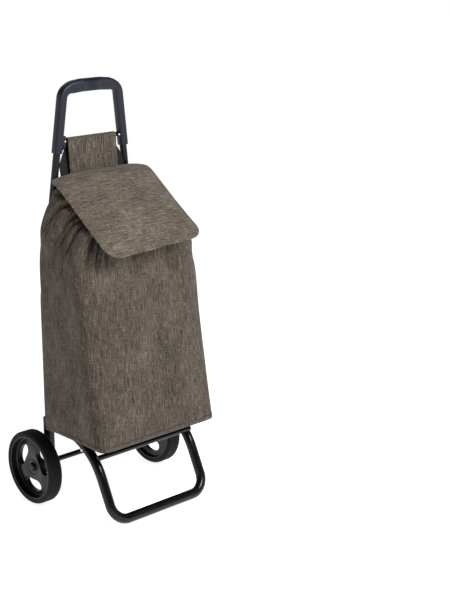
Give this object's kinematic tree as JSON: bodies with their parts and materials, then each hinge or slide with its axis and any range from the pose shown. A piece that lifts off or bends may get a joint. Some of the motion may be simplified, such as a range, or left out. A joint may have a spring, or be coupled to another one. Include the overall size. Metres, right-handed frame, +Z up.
{
  "type": "shopping trolley on wheels",
  "caption": "Upright two-wheeled shopping trolley: bent tube frame with a U-shaped front foot, arched handle, three-spoke wheels, and a tall fabric bag with a gathered neck and a lift-up flap.",
  "frame": {"origin": "on the ground, below the middle of the trolley's footprint", "axes": "+Z up, -Y towards the front, where the bag and the foot are, X across, along the axle"},
  "size_m": [0.376, 0.3241, 0.9296],
  "materials": {
    "frame": "gloss black powder coat",
    "zinc": "bright zinc plate",
    "fittings": "moulded black",
    "handle": "satin black, fine grain",
    "rim": "satin black",
    "tyre": "matt black",
    "cloth": "taupe linen-look woven polyester, coated black inside",
    "board": "grey board"
  },
  "bodies": {
    "chassis": {"axle": "frame", "foot_tube": "frame", "foot_crossbar": "frame", "left_post": "frame", "right_post": "frame", "left_upright": "frame", "right_upright": "frame", "left_post_plug": "fittings", "right_post_plug": "fittings", "left_post_collar": "fittings", "right_post_collar": "fittings", "left_foot_insert": "zinc", "right_foot_insert": "zinc", "left_foot_bolt": "zinc", "right_foot_bolt": "zinc", "left_leg_rivet": "zinc", "right_leg_rivet": "zinc", "handle": "handle", "loop_rod": "frame", "left_handle_screw": "zinc", "right_handle_screw": "zinc", "left_rod_screw": "zinc", "right_rod_screw": "zinc", "left_axle_washer": "zinc", "right_axle_washer": "zinc", "left_axle_spacer": "fittings", "right_axle_spacer": "fittings", "left_axle_cap": "fittings", "right_axle_cap": "fittings", "bag_body": "cloth", "hanger_loop": "cloth", "base_board": "board", "left_eyelet": "zinc", "right_eyelet": "zinc", "left_loop_stud": "zinc", "right_loop_stud": "zinc"},
    "left_wheel": {"left_tyre": "tyre", "left_rim": "rim", "left_wheel_bush": "fittings"},
    "right_wheel": {"right_tyre": "tyre", "right_rim": "rim", "right_wheel_bush": "fittings"},
    "flap": {"bag_flap": "cloth"}
  },
  "joints": [
    {"name": "left_wheel_spin", "type": "hinge", "parent": "chassis", "child": "left_wheel", "pos_m": [-0.1715, 0.07975, 0.0825], "axis": [1, 0, 0], "continuous": true},
    {"name": "right_wheel_spin", "type": "hinge", "parent": "chassis", "child": "right_wheel", "pos_m": [0.1715, 0.07975, 0.0825], "axis": [1, 0, 0], "continuous": true},
    {"name": "flap_lift", "type": "hinge", "parent": "chassis", "child": "flap", "pos_m": [0, 0.02975, 0.728], "axis": [-1, 0, 0], "range_deg": [0, 130]}
  ]
}
